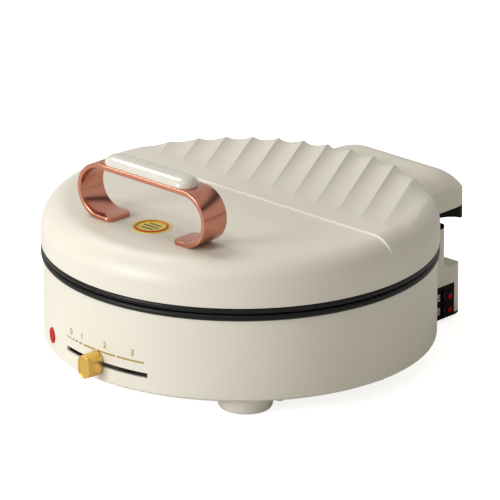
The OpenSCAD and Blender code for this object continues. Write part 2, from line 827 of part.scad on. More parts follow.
// Half section of the lid's outside, grown by some amount, its roof at a height above the rim.
module lid_profile(grow, roof) {
    r = lid_r + grow;
    round_r = shoulder_r + grow;
    translate([0, -1]) square([r, roof + grow - round_r + 1]);
    translate([0, -1]) square([r - round_r, roof + grow + 1]);
    translate([r - round_r, roof + grow - round_r]) circle(r = round_r);
}

// The lid's outside as a solid: the lower front roof, and the rear half that stands step_h above it.
module lid_solid(grow) {
    translate([0, 0, lid_z]) intersection() {
        union() {
            rotate_extrude($fn = 180) lid_profile(grow, lid_h - step_h);
            intersection() {
                rotate_extrude($fn = 180) lid_profile(grow, lid_h);
                translate([-200, step_y, -1]) cube([400, 200, 60]);
            }
        }
        translate([-200, -200, 0]) cube([400, 400, 60]);
    }
}

// The flutes' hollows: cylinders that dip towards the rear.
module flute_cutters() {
    flute_l = 150;
    dip = atan(flute_depth / flute_l);
    for (i = [0:flute_count - 1]) translate([flute_x + (i + 0.5) * flute_pitch, step_y + flute_inset, roof_z + flute_r])
        rotate([0, 0, flute_turn]) rotate([-90 - dip, 0, 0]) cylinder(r = flute_r, h = 240);
}

// The lid's hollow, as deep under the flutes as the wall needs.
module lid_hollow() {
    roof = lid_h - flute_depth - wall;
    r = lid_r - wall;
    round_r = shoulder_r - wall;
    translate([0, 0, lid_z - 1]) rotate_extrude($fn = 180) {
        square([r, roof - round_r + 1]);
        square([r - round_r, roof + 1]);
        translate([r - round_r, roof - round_r + 1]) circle(r = round_r);
    }
}

module lid_shell() {
    color("ivory") on_axis() difference() {
        union() {
            difference() {
                lid_solid(0);
                lid_hollow();
            }
            ring_of(screw_turns, plate_boss_ring) translate([0, 0, lid_z]) {
                cylinder(r = 4.5, h = 14);
                translate([0, -2, 0]) cube([lid_r - wall + 0.5 - plate_boss_ring, 4, 14]);
            }
            intersection() {
                lid_solid(0);
                for (i = [0:3]) translate([bracket_screw_at[i][0], bracket_screw_at[i][1], bracket_z + bracket_t])
                    cylinder(r = 4.5, h = lid_h);
            }
        }
        flute_cutters();
        translate([-ear_out - 4, lid_r - 20, lid_z + 3]) cube([2 * ear_out + 8, 30, 9]);
        ring_of(screw_turns, plate_boss_ring) translate([0, 0, lid_z - 1]) cylinder(r = 1.6, h = 12);
        for (p = bracket_screw_at) translate([p[0], p[1], bracket_z]) cylinder(r = 2, h = 12);
        for (side = [-1, 1]) translate([side * (handle_c - 4), -handle_y, lid_z]) cylinder(r = 2.2, h = lid_h + 1);
    }
}

module upper_rim_ring() {
    color("#262626") on_axis() difference() {
        translate([0, 0, lid_z]) mirror([0, 0, 1]) rotate_extrude($fn = 180) rim_profile();
        ring_of(screw_turns, plate_boss_ring) translate([0, 0, upper_z - 1]) cylinder(r = 1.7, h = 12);
    }
}

module upper_plate() {
    color("#3a3a3c") on_axis() difference() {
        union() {
            translate([0, 0, upper_z]) mirror([0, 0, 1]) rotate_extrude($fn = 180) plate_profile(ceiling_depth, 4);
            translate([0, 0, ceiling_top + 6]) mirror([0, 0, 1]) ridge_ring(upper_heater_r);
            translate([0, 0, ceiling_top - 0.5]) cylinder(r = 10, h = 3.5);
            ring_of(post_turns, shield_post_ring) translate([0, 0, ceiling_top - 0.5]) difference() {
                cylinder(r = 4, h = upper_shield_z - ceiling_top + 0.5);
                translate([0, 0, 4]) cylinder(r = 1.6, h = 20);
            }
        }
        ring_of(screw_turns, plate_boss_ring) translate([0, 0, upper_z - 1]) {
            cylinder(r = 1.7, h = 12);
            cylinder(r = 3.2, h = 2.6);
        }
    }
}

module plate_screws() {
    color("silver") on_axis() ring_of(screw_turns, plate_boss_ring) translate([0, 0, upper_z + 1.6]) screw_up(1.5, 12, 3, 1.4);
}

module upper_heater() {
    color("dimgray") on_axis() translate([0, 0, upper_end_z]) mirror([0, 0, 1]) heater(upper_heater_r, upper_drop);
}

module upper_heat_shield() {
    color("lightgray") on_axis() translate([0, 0, upper_shield_z + shield_t]) mirror([0, 0, 1]) heat_shield(upper_heater_r);
}

module upper_shield_screws() {
    color("silver") on_axis() ring_of(post_turns, shield_post_ring)
        translate([0, 0, upper_shield_z + shield_t]) mirror([0, 0, 1]) screw_up(1.5, 7, 3, 1.8);
}

module upper_thermostat() {
    color("whitesmoke") on_axis() translate([0, 0, ceiling_top + 3]) {
        cylinder(r = 8, h = 9);
        for (side = [-1, 1]) translate([side * 7 - 3, -3, 8.6]) cube([6, 6, 0.8]);
    }
}

module lid_wiring() {
    stub = upper_end_z + stud_l + 1.8;
    post = ceiling_top + 3 + 11;
    color("firebrick") on_axis() {
        rod([-8, 0, post], [-upper_heater_r * sin(22), upper_heater_r * cos(22), stub], 1.3);
        rod([8, 0, post], [12, 100, stub], 1.3);
        rod([12, 100, stub], [9, lid_r - 28.8, stub - 6], 1.3);
    }
}

// The arm's outside above its tray, or its hollow when inset: a level crown that falls towards three edges.
module arm_solid(inset) {
    low = lid_z - (inset > 0 ? 1 : 0);
    top = lid_z + arm_h - inset;
    r = crown_r - inset;
    x = arm_half - crown_w;
    y = arm_y - crown_w;
    translate([arm_shift, 0, 0]) intersection() {
        translate([0, 0, low]) linear_extrude(arm_h + 2)
            rear_plan(arm_half - inset, rear_start, arm_y - inset, arm_corner - inset);
        union() {
            translate([0, y, 0]) rotate([90, 0, 0]) linear_extrude(y - rear_start) {
                translate([-x, 0]) square([2 * x, top]);
                for (side = [-1, 1]) translate([side * x, top - r]) circle(r = r);
            }
            translate([-x, 0, 0]) rotate([90, 0, 90]) linear_extrude(2 * x) {
                translate([rear_start, 0]) square([y - rear_start, top]);
                translate([y, top - r]) circle(r = r);
            }
            for (side = [-1, 1]) translate([side * x, y, top - r]) sphere(r = r - 0.02);
        }
    }
}

module tower_notch() {
    depth = arm_y - hinge_y + 21;
    translate([-notch_half, hinge_y - 20, tray_z - 1]) cube([2 * notch_half, depth, bracket_z - tray_z + 3]);
}

module arm_cover() {
    color("ivory") on_axis() difference() {
        union() {
            difference() {
                arm_solid(0);
                arm_solid(wall);
            }
            intersection() {
                arm_solid(0);
                for (i = [4, 5]) translate([bracket_screw_at[i][0], bracket_screw_at[i][1], bracket_z + bracket_t])
                    cylinder(r = 4, h = 40);
            }
        }
        lid_solid(seat_gap);
        tower_notch();
        for (i = [4, 5]) translate([bracket_screw_at[i][0], bracket_screw_at[i][1], bracket_z]) cylinder(r = 2, h = 12);
    }
}

// The hollow side of the tray: clear of the lid's rim and of the tower, and scooped out below; grown by a wall within.
module tray_clearance(grow) {
    cylinder(r = rim_r + 1.8 + grow, h = lid_z + 1, $fn = 180);
    half = notch_half + grow;
    translate([-half, rear_start, 0]) cube([2 * half, arm_y - rear_start + 1, lid_z + 1]);
    translate([arm_shift - arm_half - 1, rim_r - scoop_inset, tray_z + scoop_rise - scoop_r]) rotate([0, 90, 0])
        cylinder(r = scoop_r + grow, h = 2 * arm_half + 2);
}

module arm_tray() {
    color("#202020") on_axis() difference() {
        translate([arm_shift, 0, tray_z]) linear_extrude(tray_h) rear_plan(arm_half, rear_start, arm_y, arm_corner);
        tray_clearance(0);
        difference() {
            translate([arm_shift, 0, tray_z + wall]) linear_extrude(tray_h)
                rear_plan(arm_half - wall, rear_start, arm_y - wall, arm_corner - wall);
            tray_clearance(wall);
        }
    }
}

// ---------- Handle ----------

// A foot of the strap from x0 inward, its tip's corners rounded.
module tongue_plan() {
    tip_r = 6;
    translate([handle_c - tongue_l + tip_r, -strap_w / 2]) square([tongue_l - tip_r, strap_w]);
    translate([handle_c - tongue_l, -strap_w / 2 + tip_r]) square([tongue_l, strap_w - 2 * tip_r]);
    for (side = [-1, 1]) translate([handle_c - tongue_l + tip_r, side * (strap_w / 2 - tip_r)]) circle(r = tip_r);
}

module handle_strap() {
    color("#c98b6b") on_axis() translate([0, -handle_y, front_roof_z]) difference() {
        union() {
            translate([-handle_c, -strap_w / 2, 2 * loop_r - strap_t]) cube([2 * handle_c, strap_w, strap_t]);
            for (side = [0, 1]) mirror([side, 0, 0]) {
                linear_extrude(strap_t) tongue_plan();
                translate([handle_c, strap_w / 2, loop_r]) rotate([90, 0, 0]) linear_extrude(strap_w) intersection() {
                    difference() {
                        circle(r = loop_r);
                        circle(r = loop_r - strap_t);
                    }
                    translate([0, -loop_r]) square([loop_r, 2 * loop_r]);
                }
            }
        }
        for (side = [-1, 1]) {
            translate([side * (handle_c - 4), 0, -1]) cylinder(r = 2, h = strap_t - 0.2);
            translate([side * 30, 0, 2 * loop_r - strap_t - 1]) cylinder(r = 2.2, h = strap_t + 2);
        }
    }
}

// Half section of the grip's edge.
module grip_profile() {
    round_r = 6;
    square([grip_w / 2 - round_r, grip_h]);
    square([grip_w / 2, grip_h - round_r]);
    translate([grip_w / 2 - round_r, grip_h - round_r]) circle(r = round_r);
}

module handle_grip() {
    end = grip_l / 2 - grip_w / 2;
    color("ivory") on_axis() translate([0, -handle_y, bar_z]) difference() {
        intersection() {
            union() {
                for (side = [-1, 1]) translate([side * end, 0, 0]) rotate_extrude() intersection() {
                    grip_profile();
                    square([grip_w, grip_h]);
                }
                translate([-end, 0, 0]) rotate([90, 0, 90]) linear_extrude(2 * end) {
                    grip_profile();
                    mirror([1, 0]) grip_profile();
                }
            }
            translate([-100, -50, 0]) cube([200, 100, 50]);
        }
        for (x = [-30, 30]) translate([x, 0, -1]) cylinder(r = 1.9, h = 6.5);
    }
}

module grip_backplate() {
    back_t = 1.2;
    color("ivory") on_axis() translate([0, -handle_y, bar_z - strap_t - back_t]) difference() {
        translate([-grip_l / 2 + 6, -grip_w / 2 + 2, 0]) cube([grip_l - 12, grip_w - 4, back_t]);
        for (x = [-30, 30]) translate([x, 0, -1]) cylinder(r = 2.2, h = 4);
    }
}

module grip_screws() {
    color("silver") on_axis() for (x = [-30, 30])
        translate([x, -handle_y, bar_z - strap_t - 1.2]) screw_up(1.8, 10, 3.4, 1.6);
}

module handle_screws() {
    roof_t = flute_depth + wall - step_h;
    color("silver") on_axis() for (side = [-1, 1])
        translate([side * (handle_c - 4), -handle_y, front_roof_z - roof_t]) screw_up(1.9, roof_t + 2.5, 3.6, 2);
}

module lid_badge() {
    badge_r = 17.5;
    color("gold") on_axis() translate([-5, 4.5 - handle_y, front_roof_z]) cylinder(r = badge_r, h = 0.3);
}

base_shell();
base_plate();
base_screws();
feet();
foot_pads();
lower_rim_ring();
lower_pan();
lower_heater();
heater_clips();
lower_heat_shield();
shield_screws();
thermostat();
thermal_fuse();
indicator_lens();
indicator_lamp();
scale_marks();
terminal_block();
base_wiring();
rear_housing();
housing_bottom_cover();
housing_screws();
cover_screws();
neck_caps();
switch_bezel();
switch_bodies();
lower_plate_rocker();
upper_plate_rocker();
cord_bush();
hinge_tower();
tower_screws();
hinge_pin();
hinge_washers();
pin_clips();
control_lever();
thermostat_spindle();
spindle_nut();
slide_knob();
lid_shell();
upper_rim_ring();
upper_plate();
plate_screws();
upper_heater();
upper_heat_shield();
upper_shield_screws();
upper_thermostat();
lid_wiring();
arm_cover();
arm_tray();
hinge_bracket();
bracket_screws();
handle_strap();
handle_grip();
grip_backplate();
grip_screws();
handle_screws();
lid_badge();
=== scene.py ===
"""Finishes and fine forms for a round two-plate electric baking pan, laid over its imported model.

The lid, the strap, the grip and the slider's knob are modelled anew, with the forms that their solids
leave out. The arm's cover is a copy of its solid with a longer lip. The prints are added. Every other
piece keeps its solid and takes a finish. All of it stands in a plain white studio.
"""

import json
import math

import bpy
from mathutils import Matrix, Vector

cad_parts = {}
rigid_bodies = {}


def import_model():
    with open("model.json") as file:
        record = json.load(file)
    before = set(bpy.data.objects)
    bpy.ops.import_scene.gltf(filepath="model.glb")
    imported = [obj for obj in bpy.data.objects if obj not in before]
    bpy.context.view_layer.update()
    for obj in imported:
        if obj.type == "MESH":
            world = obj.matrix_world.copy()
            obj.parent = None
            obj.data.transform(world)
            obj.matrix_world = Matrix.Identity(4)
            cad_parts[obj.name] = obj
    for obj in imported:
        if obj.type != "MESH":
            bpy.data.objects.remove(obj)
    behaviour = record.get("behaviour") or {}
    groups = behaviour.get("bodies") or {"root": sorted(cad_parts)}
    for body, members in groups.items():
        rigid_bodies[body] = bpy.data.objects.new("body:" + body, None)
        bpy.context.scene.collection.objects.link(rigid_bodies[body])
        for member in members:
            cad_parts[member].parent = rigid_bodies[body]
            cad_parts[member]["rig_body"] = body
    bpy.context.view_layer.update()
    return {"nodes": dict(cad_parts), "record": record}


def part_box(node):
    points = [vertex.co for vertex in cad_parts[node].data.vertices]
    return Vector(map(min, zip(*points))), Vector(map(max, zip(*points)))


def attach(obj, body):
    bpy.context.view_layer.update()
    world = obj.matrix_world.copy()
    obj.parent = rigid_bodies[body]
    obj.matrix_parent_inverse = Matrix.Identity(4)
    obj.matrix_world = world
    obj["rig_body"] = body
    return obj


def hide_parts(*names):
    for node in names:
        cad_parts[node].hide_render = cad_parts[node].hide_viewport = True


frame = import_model()
record = frame["record"]
nodes = frame["nodes"]
MM = 0.001

# Places that everything is measured from, in metres.
rim_low, rim_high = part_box("lower_rim_ring")
AXIS = Vector(((rim_low.x + rim_high.x) / 2, (rim_low.y + rim_high.y) / 2, 0))
lid_low, lid_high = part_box("lid_shell")
LID_R = (lid_high.x - lid_low.x) / 2
ABOVE_LOWER_RIM = 6.3 * MM  # the gap between the rims, and the upper rim's height
LID_Z = rim_high.z + ABOVE_LOWER_RIM
ROOF_Z = lid_high.z

# The lid's outline: an upright wall, a round shoulder and a flat roof, moulded to one thickness.
SHOULDER_R = 24.5 * MM
WALL_TOP = ROOF_Z - SHOULDER_R
FLAT_R = LID_R - SHOULDER_R
WALL = 2.5 * MM
POINTS_ROUND = 300

# The step across the roof: its height, its place and how far its riser leans.
STEP_H = 1.7 * MM
STEP_Y = AXIS.y + 8 * MM
STEP_RUN = 0.5 * MM

# The flutes behind the step: their count and pitch, the line that their tips lie on, and their run.
FLUTES = 10
FLUTE_PITCH = 26.8 * MM
FLUTE_X = -126.6 * MM
FLUTE_Y = AXIS.y + 30.5 * MM
FLUTE_TURN = math.radians(30)

# How they deepen: by a share of the way behind their tips, on top of a first dip over a short run.
FLUTE_GROWTH = 2.7 / 120
FLUTE_TIP_DEPTH = 0.8 * MM
FLUTE_TIP_RUN = 6 * MM

# How far the hollows lean to one side, how round the crests are, and where edges are cut for them.
FLUTE_SKEW = 0.75
CREST_SOFTNESS = 0.03
CREST_EDGE = 1.1 * MM
CUT_REACH = 8 * MM

# The window in the lid's rear wall that the hinge bracket passes through.
WINDOW_HALF = 34 * MM
WINDOW_LOW = LID_Z + 3 * MM
WINDOW_HIGH = LID_Z + 12 * MM
REAR_Y = 0.12

# The arm's cover: its clearance to the lid's shoulder, and how far its lip reaches in under it.
ARM_CLEARANCE = 0.2 * MM
LIP = 5 * MM

# The base's wall, and the radius that its print lies on.
BASE_R = 173 * MM
PRINT_R = BASE_R + 0.05 * MM

# The figures over the scale: each one, its turn from the front in degrees, and its height in millimetres.
FIGURE_SIZE = 8.4 * MM
FIGURES = ((0, -14.6, 51), (1, -9.2, 51.5), (2, 0.7, 51.8), (3, 10.7, 51.8))

# The badge's print.
FILM_T = 0.05 * MM
FILM_LIFT = 0.02 * MM

# The rockers' dots: size, how far to the rear and how far below the rocker's middle.
DOT_R = 2.6 * MM
DOT_BACK = 2.6 * MM
DOT_DOWN = 1.7 * MM

# The marks in front of the rockers.
MARK_AHEAD = 11.6 * MM

# The view: how far it turns to the right and looks down, and its own three directions.
VIEW_TURN = math.radians(43.14)
VIEW_TILT = math.radians(20.4)
VIEW_RIGHT = Vector((math.cos(VIEW_TURN), math.sin(VIEW_TURN), 0))
VIEW_UP = Vector(
    (
        -math.sin(VIEW_TURN) * math.sin(VIEW_TILT),
        math.cos(VIEW_TURN) * math.sin(VIEW_TILT),
        math.cos(VIEW_TILT),
    )
)
VIEW_BACK = VIEW_RIGHT.cross(VIEW_UP)

# The lamps: right and back along the view, height, size in metres, power in watts, and colour.
LAMPS = {
    "key": (-2.3, 1.3, 0.9, 1.1, 43, (1, 0.995, 1)),
    "top": (-0.9, -0.9, 2.1, 0.9, 16, (1, 0.99, 0.97)),
    "front": (-0.6, 1.1, 2.4, 0.5, 8, (1, 0.99, 0.97)),
    "strip": (-1.42, -0.83, 1.98, 0.22, 2.5, (1, 1, 1)),
}

# Black pieces that stay cool, moulded in plain ABS.
AWAY_FROM_HEAT = (
    "arm_tray",
    "neck_caps",
    "switch_bezel",
    "switch_bodies",
    "lower_plate_rocker",
    "upper_plate_rocker",
    "housing_bottom_cover",
)


# ---------- Small helpers ----------


def deselect():
    """Leaves edit mode and selects nothing."""
    if bpy.context.object and bpy.context.object.mode != "OBJECT":
        bpy.ops.object.mode_set(mode="OBJECT")
    bpy.ops.object.select_all(action="DESELECT")


def only(piece):
    """Makes one piece the selected and active object."""
    deselect()
    piece.select_set(True)
    bpy.context.view_layer.objects.active = piece
    return piece


def pick(piece, kind, test):
    """Selects the vertices, edges or faces of a piece whose middle passes a test, and opens edit mode."""
    only(piece)
    modes = {"VERT": piece.data.vertices, "EDGE": piece.data.edges, "FACE": piece.data.polygons}
    bpy.ops.object.mode_set(mode="EDIT")
    bpy.ops.mesh.select_mode(type=kind)
    bpy.ops.mesh.select_all(action="DESELECT")
    bpy.ops.object.mode_set(mode="OBJECT")
    corners = piece.data.vertices
    for part in modes[kind]:
        if kind == "VERT":
            part.select = test(part.co)
        elif kind == "EDGE":
            part.select = test(corners[part.vertices[0]].co, corners[part.vertices[1]].co)
        else:
            part.select = test(part.center, part.normal)
    bpy.ops.object.mode_set(mode="EDIT")


def settle(piece, name, smooth=30):
    """Names a finished piece, brings its place into its mesh and smooths it up to an angle."""
    only(piece)
    piece.name = name
    piece.data.name = name
    bpy.ops.object.transform_apply(location=True, rotation=True, scale=True)
    bpy.ops.object.shade_smooth_by_angle(angle=math.radians(smooth))
    return piece


def modifier(piece, kind, **settings):
    """Adds a modifier to a piece and applies it."""
    only(piece)
    added = piece.modifiers.new(kind.title(), kind)
    for key, value in settings.items():
        setattr(added, key, value)
    bpy.ops.object.modifier_apply(modifier=added.name)
    return piece


def dress(piece, material, body, stands_for=()):
    """Gives a piece its material, the body it rides on and the nodes that it stands for."""
    if not piece.data.materials:
        piece.data.materials.append(material)
    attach(piece, body)
    for node in stands_for:
        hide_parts(node)
    return piece


def body_of(node):
    """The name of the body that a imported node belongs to."""
    return nodes[node]["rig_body"]


def slot_of(node):
    """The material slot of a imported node."""
    return next(part["material_slot"] for part in record["subparts"] if part["node"] == node)


def linear(hex_colour):
    """An sRGB hex colour as the linear RGBA that a shader takes."""
    channels = [int(hex_colour[i : i + 2], 16) / 255 for i in (1, 3, 5)]
    return (*[c / 12.92 if c <= 0.04045 else ((c + 0.055) / 1.055) ** 2.4 for c in channels], 1)


def add(tree, kind, settings=None, links=None):
    """Adds a node to a material, with its properties and sockets set and its inputs linked."""
    made = tree.nodes.new(kind)
    for key, value in (settings or {}).items():
        if isinstance(key, int) or key in made.inputs:
            made.inputs[key].default_value = value
        else:
            setattr(made, key, value)
    for socket, source in (links or {}).items():
        tree.links.new(source, made.inputs[socket])
    return made


def noise(tree, place, size_mm, detail=2.0):
    """A noise whose features are about so many millimetres across."""
    return add(tree, "ShaderNodeTexNoise", {"Scale": 1 / (size_mm * MM), "Detail": detail}, {"Vector": place})


def two_tones(tree, light, dark, factor):
    """A colour that drifts from a light tone to a dark one."""
    tones = {"data_type": "RGBA", 6: linear(light), 7: linear(dark)}
    return add(tree, "ShaderNodeMix", tones, {0: factor}).outputs[2]


def ramp(tree, value, **ends):
    """A value carried from one range to another."""
    settings = {key.replace("_", " ").title(): end for key, end in ends.items()}
    return add(tree, "ShaderNodeMapRange", settings, {"Value": value}).outputs[0]


def mixed_shader(tree, factor, first, second):
    """Two shaders mixed by a factor."""
    links = {0: factor, 1: first.outputs[0], 2: second.outputs[0]}
    return add(tree, "ShaderNodeMixShader", links=links)


def seen_straight(tree):
    """One where the camera sees a thing outright or through a lens, and the light path that tells it."""
    path = add(tree, "ShaderNodeLightPath")
    rays = {0: path.outputs["Is Camera Ray"], 1: path.outputs["Is Transmission Ray"]}
    return add(tree, "ShaderNodeMath", {"operation": "MAXIMUM"}, rays).outputs[0], path


# ---------- Materials ----------


def new_material(name):
    """A material with an empty node tree, and its output and Object coordinates."""
    material = bpy.data.materials.new(name)
    material.use_nodes = True
    tree = material.node_tree
    tree.nodes.clear()
    place = add(tree, "ShaderNodeTexCoord").outputs["Object"]
    return material, tree, place


def finish_material(material, tree, shader):
    """Joins the finished shader to the material's output."""
    add(tree, "ShaderNodeOutputMaterial", links={"Surface": shader.outputs[0]})
    return material


def moulded_plastic(
    name, light, dark, rough, grain_mm, grain_depth_mm, edge_mm, coat=0.0, ior=1.54, sheen_level=0.5
):
    """Injection-moulded plastic: a slow drift of tone, a fine eroded grain, and edges rounded by the tool."""
    material, tree, place = new_material(name)
    tone = two_tones(tree, light, dark, noise(tree, place, 90).outputs["Fac"])
    grain = noise(tree, place, grain_mm, 3.0)
    roughness = ramp(tree, grain.outputs["Fac"], to_min=rough - 0.04, to_max=rough + 0.04)
    rounded = add(tree, "ShaderNodeBevel", {"samples": 4, "Radius": edge_mm * MM})
    bump = add(
        tree,
        "ShaderNodeBump",
        {"Strength": 0.35, "Distance": grain_depth_mm * MM},
        {"Height": grain.outputs["Fac"], "Normal": rounded.outputs[0]},
    )
    shader = add(
        tree,
        "ShaderNodeBsdfPrincipled",
        {"IOR": ior, "Coat Weight": coat, "Coat Roughness": 0.08, "Specular IOR Level": sheen_level},
        {"Base Color": tone, "Roughness": roughness, "Normal": bump.outputs[0]},
    )
    return finish_material(material, tree, shader)


def worked_metal(name, light, dark, rough, grain_mm, stretch, edge_mm, metallic=1.0):
    """Rolled, turned or plated metal: fine lines drawn along one way, and softly broken edges."""
    material, tree, place = new_material(name)
    along = add(tree, "ShaderNodeMapping", {"Scale": stretch}, {"Vector": place})
    lines = noise(tree, along.outputs[0], grain_mm, 4.0)
    tone = two_tones(tree, light, dark, noise(tree, place, 35).outputs["Fac"])
    sheen = ramp(tree, lines.outputs["Fac"], to_min=rough * 0.8, to_max=rough * 1.2)
    rounded = add(tree, "ShaderNodeBevel", {"samples": 4, "Radius": edge_mm * MM})
    bump = add(
        tree,
        "ShaderNodeBump",
        {"Strength": 0.12, "Distance": 0.03 * MM},
        {"Height": lines.outputs["Fac"], "Normal": rounded.outputs[0]},
    )
    shader = add(
        tree,
        "ShaderNodeBsdfPrincipled",
        {"Metallic": metallic},
        {"Base Color": tone, "Roughness": sheen, "Normal": bump.outputs[0]},
    )
    return finish_material(material, tree, shader)


def nonstick_coating():
    """PTFE coating on cast aluminium: dark grey, with pale mineral specks about a millimetre apart."""
    material, tree, place = new_material("ptfe_nonstick_coating")
    specks = add(tree, "ShaderNodeTexVoronoi", {"Scale": 1 / (1.4 * MM)}, {"Vector": place})
    dots = ramp(tree, specks.outputs["Distance"], from_min=0.1, from_max=0.2, to_min=1.0, to_max=0.0)
    tone = two_tones(tree, "#39393b", "#6a6a6c", dots)
    sprayed = noise(tree, place, 0.8)
    bump = add(
        tree,
        "ShaderNodeBump",
        {"Strength": 0.25, "Distance": 0.05 * MM},
        {"Height": sprayed.outputs["Fac"]},
    )
    shader = add(
        tree,
        "ShaderNodeBsdfPrincipled",
        {"Roughness": 0.42, "IOR": 1.38, "Specular IOR Level": 0.6},
        {"Base Color": tone, "Normal": bump.outputs[0]},
    )
    return finish_material(material, tree, shader)


def red_polycarbonate():
    """Red polycarbonate over an unlit neon lamp: a deep, even colour with a dull face."""
    material, tree, place = new_material("red_polycarbonate")
    tone = two_tones(tree, "#c40305", "#ac0204", noise(tree, place, 5).outputs["Fac"])
    shader = add(
        tree,
        "ShaderNodeBsdfPrincipled",
        {"Roughness": 0.3, "IOR": 1.585, "Specular IOR Level": 0.02},
        {"Base Color": tone},
    )
    return finish_material(material, tree, shader)


def make_materials():
    """Every finish on the pan, by the record's slot or by its own name."""
    lengthwise = (1, 0.04, 0.04)
    return {
        # Satin moulded ABS: warm ivory, broad soft highlights.
        "ivory_plastic": moulded_plastic("ivory_moulded_abs", "#e6e2d6", "#e0dbce", 0.42, 0.5, 0.02, 0.5),
        # Glossy ABS from a polished mould: a crisp long highlight on the grip.
        "ivory_gloss": moulded_plastic(
            "ivory_polished_abs", "#dedcd2", "#d9d6cb", 0.16, 1.2, 0.003, 0.4, coat=0.25
        ),
        # The same ABS below, with a duller tool finish.
        "base_plastic": moulded_plastic("ivory_textured_abs", "#dedacc", "#d6d1c2", 0.55, 0.6, 0.05, 0.5),
        # Black glass-filled PBT, which stands the plates' heat: satin, nearly neutral black.
        "black_plastic": moulded_plastic(
            "black_glass_filled_pbt", "#101011", "#0c0c0d", 0.4, 0.4, 0.02, 0.4, ior=1.5, sheen_level=0.25
        ),
        # Black ABS away from the heat: deeper and duller than the rims.
        "black_abs": moulded_plastic(
            "black_moulded_abs", "#070707", "#050505", 0.5, 0.4, 0.02, 0.3, ior=1.5, sheen_level=0.06
        ),
        # Vulcanised rubber pads and cord bush.
        "rubber": moulded_plastic(
            "black_vulcanised_rubber", "#232323", "#1a1a1a", 0.75, 0.5, 0.04, 0.4, ior=1.52
        ),
        # Copper-plated strip steel, polished.
        "copper_strap": worked_metal("copper_plated_steel", "#d2907a", "#c88570", 0.16, 0.8, lengthwise, 0.5),
        # Satin gold-plated ABS knob.
        "gold_knob": worked_metal("satin_gold_plate", "#e9c26a", "#dfb459", 0.3, 0.5, (1, 1, 0.05), 0.4),
        # Hot-stamped gold foil print.
        "gold_print": worked_metal(
            "gold_foil_print", "#b09a34", "#a08a26", 0.45, 0.3, (1, 1, 1), 0.1, metallic=0.6
        ),
        "nonstick": nonstick_coating(),
        # Oxidised sheath of a tubular heating element.
        "heater_steel": worked_metal("oxidised_sheath_steel", "#5c5854", "#47423e", 0.5, 0.6, (1, 1, 1), 0.2),
        # Aluminised sheet, bright zinc screws.
        "sheet_steel": worked_metal("bright_zinc_steel", "#c4c6c8", "#b0b2b4", 0.3, 0.5, lengthwise, 0.3),
        # Steatite ceramic bodies.
        "ceramic": moulded_plastic("steatite_ceramic", "#ece8df", "#e2ddd2", 0.3, 0.7, 0.02, 0.3, ior=1.6),
        # Drawn brass caps of the fuse.
        "fuse_brass": worked_metal("drawn_brass", "#cdb06a", "#bd9d55", 0.3, 0.4, lengthwise, 0.2),
        "red_lens": red_polycarbonate(),
        # Neon lamp in glass.
        "lamp": moulded_plastic("neon_lamp_glass", "#e58a4e", "#da7a3c", 0.1, 2.0, 0.002, 0.2, ior=1.5),
        # Natural nylon washers.
        "nylon": moulded_plastic("natural_nylon", "#ece9df", "#e3dfd2", 0.4, 0.5, 0.01, 0.2, ior=1.53),
        # Silicone-covered lead wire.
        "wire": moulded_plastic("red_silicone_wire", "#9a2b22", "#8a231b", 0.5, 0.6, 0.02, 0.1, ior=1.41),
        # Printed film of the round badge: its ground, its ring and its bars.
        "badge": moulded_plastic("yellow_print_film", "#efd92b", "#ead022", 0.3, 1.0, 0.003, 0.05),
        "badge_red": moulded_plastic("red_print_film", "#c4441c", "#b93c17", 0.3, 1.0, 0.003, 0.05),
        "badge_dark": moulded_plastic("dark_print_film", "#2f3327", "#272b20", 0.3, 1.0, 0.003, 0.05),
        # White pad print beside the switches.
        "white_print": moulded_plastic("white_pad_print", "#d8d8d4", "#ccccc8", 0.4, 0.5, 0.005, 0.05),
        # Red rocker dots.
        "red_print": moulded_plastic(
            "red_pad_print", "#b40a10", "#a2080d", 0.5, 0.5, 0.005, 0.05, sheen_level=0.06
        ),
    }


# ---------- Lid ----------


def add_ring(factor, rise):
    """Carries the selected ring of the lid in or out by a factor, and up by a rise."""
    bpy.ops.mesh.extrude_region_move(TRANSFORM_OT_translate={"value": (0, 0, rise)})
    bpy.ops.transform.resize(value=(factor, factor, 1), center_override=AXIS)


def lid_rings():
    """The lid's skin before its step and flutes, as rings about the axis with a grid in the middle."""
    wall_steps, shoulder_steps, roof_steps = 3, 18, 58
    deselect()
    bpy.ops.mesh.primitive_circle_add(vertices=POINTS_ROUND, radius=LID_R, location=(AXIS.x, AXIS.y, LID_Z))
    skin = bpy.context.object
    bpy.ops.object.transform_apply(location=True)
    bpy.ops.object.mode_set(mode="EDIT")
    bpy.ops.mesh.select_all(action="SELECT")
    for _ in range(wall_steps):
        add_ring(1, (WALL_TOP - LID_Z) / wall_steps)
    radius, height = LID_R, WALL_TOP
    for i in range(1, shoulder_steps + 1):
        turn = math.pi / 2 * i / shoulder_steps
        next_r = FLAT_R + SHOULDER_R * math.cos(turn)
        next_z = WALL_TOP + SHOULDER_R * math.sin(turn)
        add_ring(next_r / radius, next_z - height)
        radius, height = next_r, next_z
    for i in range(1, roof_steps):
        next_r = FLAT_R * (1 - i / roof_steps)
        add_ring(next_r / radius, 0)
        radius = next_r
    bpy.ops.mesh.fill_grid(span=POINTS_ROUND // 4)
    return skin


def cut_line(skin, point, normal, test):
    """Bisects the part of the skin that passes a test, so that an edge runs along a plane."""
    pick(skin, "FACE", test)
    bpy.ops.mesh.bisect(plane_co=point, plane_no=normal)


def flute_place(co):
    """How far behind the tips a point lies, and its place across the flutes, counted in flutes."""
    behind = co.y - FLUTE_Y
    across = (co.x + behind * math.tan(FLUTE_TURN) - FLUTE_X) / FLUTE_PITCH
    return behind, across


